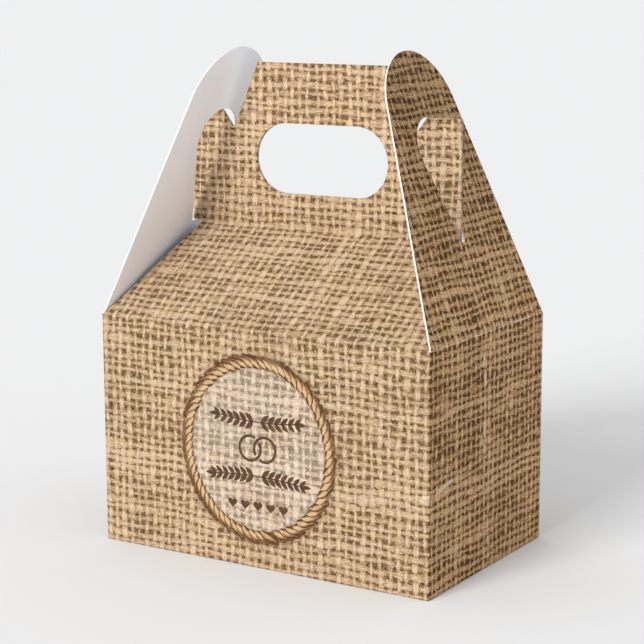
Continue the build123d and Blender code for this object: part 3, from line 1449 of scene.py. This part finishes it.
def sprig_tree(inputs):
    """A level stem with pairs of leaves that grow out from its middle."""
    w = geometry_group("Leafy sprig", inputs)
    given = w.given
    half_span = given["Span"] * 0.5

    def on_stem(t):
        return t * half_span, (t * t - 0.5) * given["Droop"]

    def stem(along, across):
        x, y = on_stem(along)
        return x, across * (given["Stem width"] * 0.5) + y

    def blade(along, across):
        t = along * 0.5 + 0.5
        swell = w.math("SINE", w.math("POWER", t, 0.85) * math.pi)
        return t * given["Leaf length"], across * swell * (given["Leaf width"] * 0.5)

    leaf = raised(w, flat_strip(w, 13, blade))
    number = w.out("GeometryNodeInputIndex")

    def leaves(count, side, t, turn, size):
        points = w.out("GeometryNodePoints", {"Count": count})
        # a leaf on the left half grows the other way round
        facing = side * turn + (1.0 - side) * (math.pi / 2)
        return on_points(w, leaf, moved(w, points, *on_stem(t)), facing, size)

    # four leaves to a pair of shoots: right and left half, above and below
    quarter = w.math("MODULO", number, 4.0)
    side = w.math("GREATER_THAN", quarter, 1.5) * 2.0 - 1.0
    way = w.math("MODULO", number, 2.0) * 2.0 - 1.0
    share = w.math("FLOOR", number / 4.0) / (given["Pairs"] - 1.0)
    reach = share * 0.84 + 0.10
    turn = way * given["Leaf turn"]
    paired = leaves(given["Pairs"] * 4.0, side, side * reach, turn, 1.0 - reach * 0.25)
    end = number * 2.0 - 1.0
    ends = leaves(2, end, end * 0.99, 0.0, 0.8)
    stalk = raised(w, flat_strip(w, 25, stem))
    return painted(w, joined(w, stalk, paired, ends))


def linked_rings_tree(inputs):
    """Two rings side by side, each broken where the other passes over it."""
    w = geometry_group("Linked rings", inputs)
    given = w.given
    middle = w.math("ARCCOSINE", given["Half apart"] / given["Radius"]) + math.pi
    sweep = math.pi - given["Break"]

    def band(along, across):
        angle = along * sweep + middle
        radius = given["Radius"] - across * (given["Width"] * 0.5)
        return w.math("COSINE", angle) * radius, w.math("SINE", angle) * radius

    ring = raised(w, flat_strip(w, 57, band))
    number = w.out("GeometryNodeInputIndex")
    points = w.out("GeometryNodePoints", {"Count": 2})
    x = (number * 2.0 - 1.0) * given["Half apart"]
    return painted(w, on_points(w, ring, moved(w, points, x, 0.0), number * math.pi))


def hearts_tree(inputs):
    """A level row of hearts, the middle one at the origin."""
    w = geometry_group("Row of hearts", inputs)
    given = w.given
    sides = 40
    disc = w.out("GeometryNodeMeshCircle", {"Vertices": sides}, fill_type="NGON")
    number = w.out("GeometryNodeInputIndex")
    t = number * (2.0 * math.pi / sides)
    # the usual heart curve is 32 units wide
    unit = given["Size"] / 32.0
    x = w.math("POWER", w.math("SINE", t), 3.0) * -16.0
    y = w.math("COSINE", t) * 13.0
    for turns, depth in ((2.0, -5.0), (3.0, -2.0), (4.0, -1.0)):
        y = w.math("COSINE", t * turns) * depth + y
    heart = raised(w, moved(w, disc, x * unit, y * unit))
    points = w.out("GeometryNodePoints", {"Count": given["Count"]})
    place = (number - (given["Count"] - 1.0) * 0.5) * given["Spacing"]
    return painted(w, on_points(w, heart, moved(w, points, place, 0.0)))


class FAVOURBOX_OT_emblem(bpy.types.Operator):
    """Print the emblem inside the ring: linked rings between leafy sprigs"""

    bl_idname = "favourbox.emblem"
    bl_label = "Emblem"

    leaf: a_length("Leaf length", "Length of a full-sized leaf", 3.4)
    ring_radius: a_length(
        "Linked ring radius", "Radius of each of the two linked rings", 3.3
    )
    hearts: IntProperty(
        name="Hearts", description="Hearts in the bottom row", default=5, min=1
    )
    heart_size: a_length("Heart size", "Width of a heart", 2.8)

    def execute(self, context):
        finish = named_material("Emblem ink")
        ink = {"Ink height": context.scene.favour_ring.ink_height, "Finish": finish}
        leaf = {
            "Leaf length": self.leaf,
            "Leaf width": 0.42 * self.leaf,
            "Leaf turn": math.radians(42.0),
            "Stem width": 0.1 * self.leaf,
            **ink,
        }
        rings = {
            "Radius": self.ring_radius,
            "Width": 0.23 * self.ring_radius,
            "Half apart": 0.7 * self.ring_radius,
            "Break": math.radians(15.0),
            **ink,
        }
        hearts = {
            "Count": self.hearts,
            "Spacing": 1.43 * self.heart_size,
            "Size": self.heart_size,
            **ink,
        }
        upper = {"Span": 25.0 * MM, "Pairs": 6, "Droop": 0.9 * MM, **leaf}
        lower = {"Span": 28.0 * MM, "Pairs": 7, "Droop": -0.9 * MM, **leaf}
        sprig = sprig_tree(upper)
        whole = bmesh.new()
        for tree, inputs, height in (
            (sprig, upper, 7.9 * MM),
            (linked_rings_tree(rings), rings, 0.2 * MM),
            (sprig, lower, -7.6 * MM),
            (hearts_tree(hearts), hearts, -15.2 * MM),
        ):
            part = grown_mesh(tree.name, tree, inputs)
            part.transform(Matrix.Translation((0.0, height, 0.0)))
            whole.from_mesh(part)
            bpy.data.meshes.remove(part)
        mesh = bpy.data.meshes.new("emblem")
        whole.to_mesh(mesh)
        whole.free()
        mesh.materials.append(finish)
        on_front(mesh)
        return {"FINISHED"}


# metres from the middle of the floor to its edge
FLOOR_REACH = 14.0


class FAVOURBOX_OT_stage(bpy.types.Operator):
    """Set up the pale floor, the soft lights and the camera"""

    bl_idname = "favourbox.stage"
    bl_label = "Stage"

    azimuth: an_angle(
        "Azimuth", "Camera's turn from the front towards the right", 32.155
    )
    elevation: an_angle("Elevation", "Camera's height above level", 10.816)
    roll: an_angle("Roll", "Camera's turn about its own line of sight", -0.233)
    place: FloatVectorProperty(
        name="Camera place",
        description="Where the camera stands",
        default=(0.26971, -0.42935, 0.15777),
        subtype="TRANSLATION",
    )

    def execute(self, context):
        scene = context.scene
        stage = scene.favour_stage
        self.build_floor(scene, stage)
        self.build_lights(scene, stage)
        data = bpy.data.cameras.new("Camera")
        data.lens = stage.lens
        data.sensor_width = 36.0
        data.clip_start = 0.01
        camera = bpy.data.objects.new("Camera", data)
        scene.collection.objects.link(camera)
        level = math.cos(self.elevation)
        back = Vector((
            math.sin(self.azimuth) * level,
            -math.cos(self.azimuth) * level,
            math.sin(self.elevation),
        ))
        right = Vector((0, 0, 1)).cross(back).normalized()
        up = back.cross(right)
        c, s = math.cos(self.roll), math.sin(self.roll)
        right, up = right * c + up * s, up * c - right * s
        turn = Matrix((right, up, back)).transposed().to_4x4()
        camera.matrix_world = Matrix.Translation(self.place) @ turn
        scene.camera = camera
        scene.view_settings.view_transform = "Standard"
        return {"FINISHED"}

    def build_floor(self, scene, stage):
        """A very wide level sheet of pale paper."""
        material, w, shader = new_material("Studio paper")
        clouds = w.noise(w.object_place(), 6.0, 3.0, 0.5)
        shade = rgba([c * 0.99 for c in stage.floor])
        w.feed(shader.inputs["Base Color"], w.mix(clouds, rgba(stage.floor), shade))
        shader.inputs["Roughness"].default_value = 0.9
        mesh = bpy.data.meshes.new("studio_floor")
        r = FLOOR_REACH
        corners = [(-r, -r, 0), (r, -r, 0), (r, r, 0), (-r, r, 0)]
        mesh.from_pydata(corners, [], [(0, 1, 2, 3)])
        mesh.materials.append(material)
        floor = bpy.data.objects.new("studio_floor", mesh)
        scene.collection.objects.link(floor)

    def build_lights(self, scene, stage):
        """An even pale sky and one broad key light from the front left."""
        scene.world = scene.world or bpy.data.worlds.new("World")
        scene.world.use_nodes = True
        sky = scene.world.node_tree.nodes["Background"]
        sky.inputs["Color"].default_value = (1.0, 1.0, 1.0, 1.0)
        sky.inputs["Strength"].default_value = stage.sky
        data = bpy.data.lights.new("Key", "SUN")
        data.angle = stage.key_spread
        data.energy = stage.key
        lamp = bpy.data.objects.new("Key", data)
        scene.collection.objects.link(lamp)
        toward = Vector(stage.key_from)
        lamp.rotation_euler = (-toward).to_track_quat("-Z", "Y").to_euler()
        lamp.location = toward


class FAVOURBOX_PT_panel(bpy.types.Panel):
    """Lists what can be built"""

    bl_idname = "FAVOURBOX_PT_panel"
    bl_label = "Favour Box"
    bl_space_type = "VIEW_3D"
    bl_region_type = "UI"
    bl_category = "Favour Box"

    def draw(self, context):
        for operator in OPERATORS:
            self.layout.operator(operator.bl_idname)
        for group in GROUPS:
            settings = getattr(context.scene, group)
            column = self.layout.column()
            for name in settings.__annotations__:
                column.prop(settings, name)


OPERATORS = (
    FAVOURBOX_OT_walls,
    FAVOURBOX_OT_base,
    FAVOURBOX_OT_roof,
    FAVOURBOX_OT_handle,
    FAVOURBOX_OT_end_flaps,
    FAVOURBOX_OT_creases,
    FAVOURBOX_OT_rope_ring,
    FAVOURBOX_OT_emblem,
    FAVOURBOX_OT_stage,
)
GROUPS = {
    "favour_card": CardSettings,
    "favour_print": PrintSettings,
    "favour_ring": RingSettings,
    "favour_stage": StageSettings,
}
CLASSES = (*GROUPS.values(), *OPERATORS, FAVOURBOX_PT_panel)


def register():
    for each in CLASSES:
        bpy.utils.register_class(each)
    for name, group in GROUPS.items():
        setattr(bpy.types.Scene, name, PointerProperty(type=group))


def unregister():
    for name in GROUPS:
        delattr(bpy.types.Scene, name)
    for each in reversed(CLASSES):
        bpy.utils.unregister_class(each)


def main():
    register()
    bpy.ops.favourbox.stage()
    bpy.ops.favourbox.walls()
    bpy.ops.favourbox.base()
    bpy.ops.favourbox.roof()
    bpy.ops.favourbox.handle()
    bpy.ops.favourbox.end_flaps()
    bpy.ops.favourbox.creases()
    bpy.ops.favourbox.rope_ring()
    bpy.ops.favourbox.emblem()


if __name__ == "__main__":
    main()
